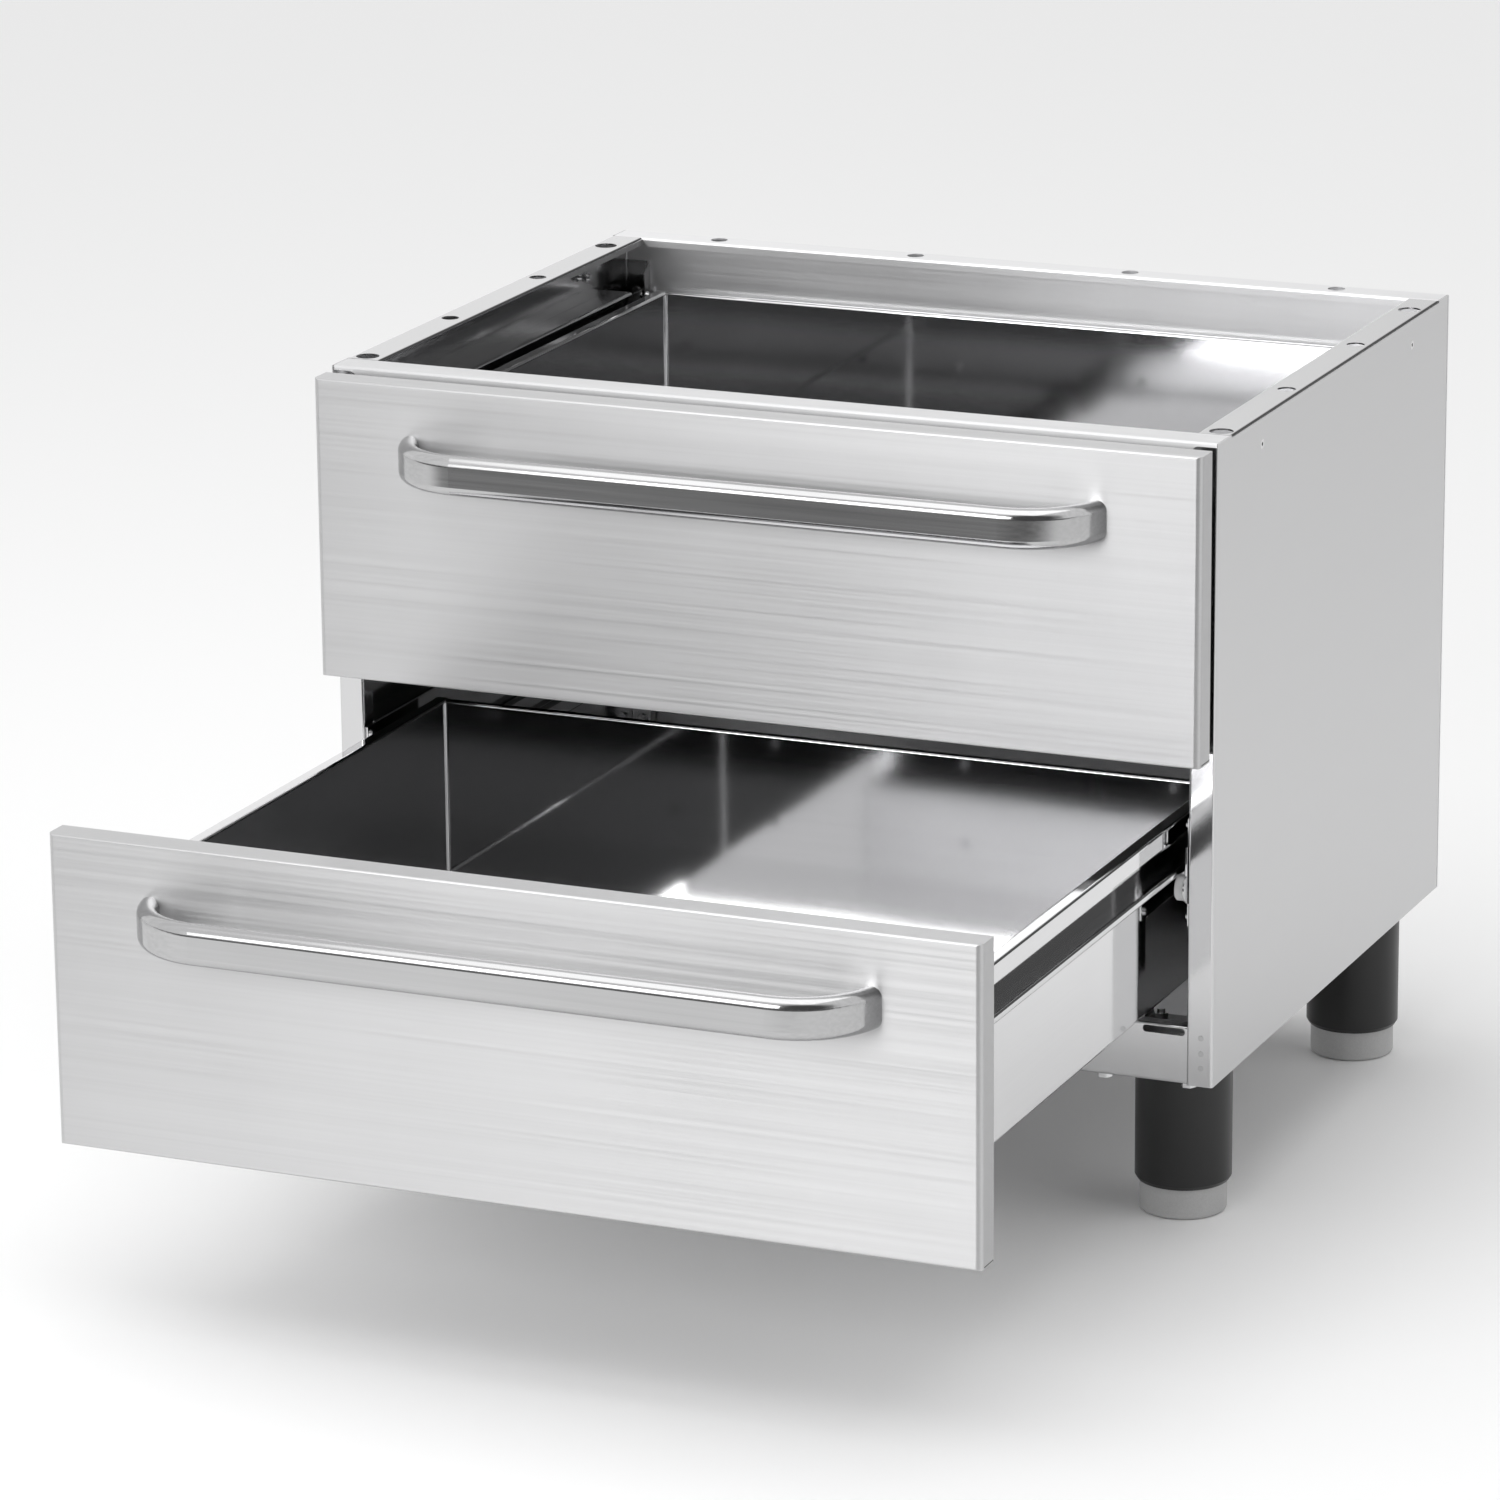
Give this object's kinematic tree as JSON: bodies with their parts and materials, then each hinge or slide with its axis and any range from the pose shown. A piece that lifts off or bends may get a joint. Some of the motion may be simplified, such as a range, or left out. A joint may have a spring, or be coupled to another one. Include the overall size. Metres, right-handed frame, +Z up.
{
  "type": "drawer base cabinet",
  "caption": "Open-topped steel base cabinet on adjustable legs, with wide pull-out drawers on roller runners and long bowed handles.",
  "frame": {"origin": "on the floor, under the middle of the overall box with the lower drawer pulled out", "axes": "+X to the right seen from the front, +Y from front to back, +Z up"},
  "size_m": [0.7, 1.041, 0.6],
  "materials": {
    "shell_steel": "smooth satin sheet",
    "front_steel": "brushed along its length",
    "handle_steel": "brushed tube",
    "box_steel": "bright rolled sheet",
    "runner_steel": "bright rolled sheet",
    "zinc_steel": "zinc plated",
    "fixings": "bright plated",
    "black_plastic": "satin moulded",
    "grey_plastic": "satin moulded",
    "white_nylon": "smooth moulded"
  },
  "bodies": {
    "cabinet": {"side_panel_left": "shell_steel", "side_panel_right": "shell_steel", "top_front_rail": "shell_steel", "rear_panel": "shell_steel", "rear_panel_rivets": "fixings", "bottom_pan": "shell_steel", "side_panel_screws": "fixings", "side_panel_nuts": "fixings", "leg_bracket_front_left": "zinc_steel", "leg_bracket_front_right": "zinc_steel", "leg_bracket_rear_left": "zinc_steel", "leg_bracket_rear_right": "zinc_steel", "bracket_bolts": "fixings", "bracket_nuts": "fixings", "leg_bolts": "fixings", "leg_nuts": "fixings", "leg_sleeve_front_left": "black_plastic", "leg_sleeve_front_right": "black_plastic", "leg_sleeve_rear_left": "black_plastic", "leg_sleeve_rear_right": "black_plastic", "runner_plate_upper_left": "runner_steel", "runner_plate_upper_right": "runner_steel", "runner_plate_lower_left": "runner_steel", "runner_plate_lower_right": "runner_steel", "runner_tracks_left": "runner_steel", "runner_tracks_right": "runner_steel", "runner_screws": "fixings", "front_roller_pins": "fixings"},
    "upper_drawer": {"upper_drawer_box": "box_steel", "upper_drawer_front": "front_steel", "upper_front_back_plate": "front_steel", "upper_handle": "handle_steel", "upper_handle_screws": "fixings", "upper_box_screws": "fixings", "upper_drawer_rails": "box_steel", "upper_rear_pins": "fixings"},
    "lower_drawer": {"lower_drawer_box": "box_steel", "lower_drawer_front": "front_steel", "lower_front_back_plate": "front_steel", "lower_handle": "handle_steel", "lower_handle_screws": "fixings", "lower_box_screws": "fixings", "lower_drawer_rails": "box_steel", "lower_rear_pins": "fixings"},
    "foot_front_left": {"foot_front_left": "grey_plastic"},
    "foot_front_right": {"foot_front_right": "grey_plastic"},
    "foot_rear_left": {"foot_rear_left": "grey_plastic"},
    "foot_rear_right": {"foot_rear_right": "grey_plastic"},
    "front_roller_upper_left": {"front_roller_upper_left": "white_nylon"},
    "front_roller_upper_right": {"front_roller_upper_right": "white_nylon"},
    "front_roller_lower_left": {"front_roller_lower_left": "white_nylon"},
    "front_roller_lower_right": {"front_roller_lower_right": "white_nylon"},
    "rear_roller_upper_left": {"rear_roller_upper_left": "white_nylon"},
    "rear_roller_upper_right": {"rear_roller_upper_right": "white_nylon"},
    "rear_roller_lower_left": {"rear_roller_lower_left": "white_nylon"},
    "rear_roller_lower_right": {"rear_roller_lower_right": "white_nylon"}
  },
  "joints": [
    {"name": "upper_drawer_slide", "type": "slide", "parent": "cabinet", "child": "upper_drawer", "axis": [0, -1, 0], "range_m": [0, 0.423]},
    {"name": "lower_drawer_slide", "type": "slide", "parent": "cabinet", "child": "lower_drawer", "axis": [0, -1, 0], "range_m": [-0.423, 0]},
    {"name": "front_roller_upper_left_turn", "type": "hinge", "parent": "cabinet", "child": "front_roller_upper_left", "pos_m": [-0.3249, -0.0115, 0.5026], "axis": [1, 0, 0], "range_deg": [0, 2552]},
    {"name": "rear_roller_upper_left_turn", "type": "hinge", "parent": "upper_drawer", "child": "rear_roller_upper_left", "pos_m": [-0.3237, 0.4905, 0.5008], "axis": [1, 0, 0], "range_deg": [0, 2552]},
    {"name": "front_roller_upper_right_turn", "type": "hinge", "parent": "cabinet", "child": "front_roller_upper_right", "pos_m": [0.3249, -0.0115, 0.5026], "axis": [1, 0, 0], "range_deg": [0, 2552]},
    {"name": "rear_roller_upper_right_turn", "type": "hinge", "parent": "upper_drawer", "child": "rear_roller_upper_right", "pos_m": [0.3237, 0.4905, 0.5008], "axis": [1, 0, 0], "range_deg": [0, 2552]},
    {"name": "front_roller_lower_left_turn", "type": "hinge", "parent": "cabinet", "child": "front_roller_lower_left", "pos_m": [-0.3249, -0.0115, 0.2688], "axis": [1, 0, 0], "range_deg": [-2552, 0]},
    {"name": "rear_roller_lower_left_turn", "type": "hinge", "parent": "lower_drawer", "child": "rear_roller_lower_left", "pos_m": [-0.3237, 0.0675, 0.267], "axis": [1, 0, 0], "range_deg": [-2552, 0]},
    {"name": "front_roller_lower_right_turn", "type": "hinge", "parent": "cabinet", "child": "front_roller_lower_right", "pos_m": [0.3249, -0.0115, 0.2688], "axis": [1, 0, 0], "range_deg": [-2552, 0]},
    {"name": "rear_roller_lower_right_turn", "type": "hinge", "parent": "lower_drawer", "child": "rear_roller_lower_right", "pos_m": [0.3237, 0.0675, 0.267], "axis": [1, 0, 0], "range_deg": [-2552, 0]},
    {"name": "foot_front_left_height", "type": "slide", "parent": "cabinet", "child": "foot_front_left", "axis": [0, 0, -1], "range_m": [0, 0.025]},
    {"name": "foot_front_right_height", "type": "slide", "parent": "cabinet", "child": "foot_front_right", "axis": [0, 0, -1], "range_m": [0, 0.025]},
    {"name": "foot_rear_left_height", "type": "slide", "parent": "cabinet", "child": "foot_rear_left", "axis": [0, 0, -1], "range_m": [0, 0.025]},
    {"name": "foot_rear_right_height", "type": "slide", "parent": "cabinet", "child": "foot_rear_right", "axis": [0, 0, -1], "range_m": [0, 0.025]}
  ],
  "couplings": [
    {"joint": "front_roller_upper_left_turn", "follows": "upper_drawer_slide", "rad_per_m": 105.26},
    {"joint": "rear_roller_upper_left_turn", "follows": "upper_drawer_slide", "rad_per_m": 105.26},
    {"joint": "front_roller_upper_right_turn", "follows": "upper_drawer_slide", "rad_per_m": 105.26},
    {"joint": "rear_roller_upper_right_turn", "follows": "upper_drawer_slide", "rad_per_m": 105.26},
    {"joint": "front_roller_lower_left_turn", "follows": "lower_drawer_slide", "rad_per_m": 105.26},
    {"joint": "rear_roller_lower_left_turn", "follows": "lower_drawer_slide", "rad_per_m": 105.26},
    {"joint": "front_roller_lower_right_turn", "follows": "lower_drawer_slide", "rad_per_m": 105.26},
    {"joint": "rear_roller_lower_right_turn", "follows": "lower_drawer_slide", "rad_per_m": 105.26}
  ]
}
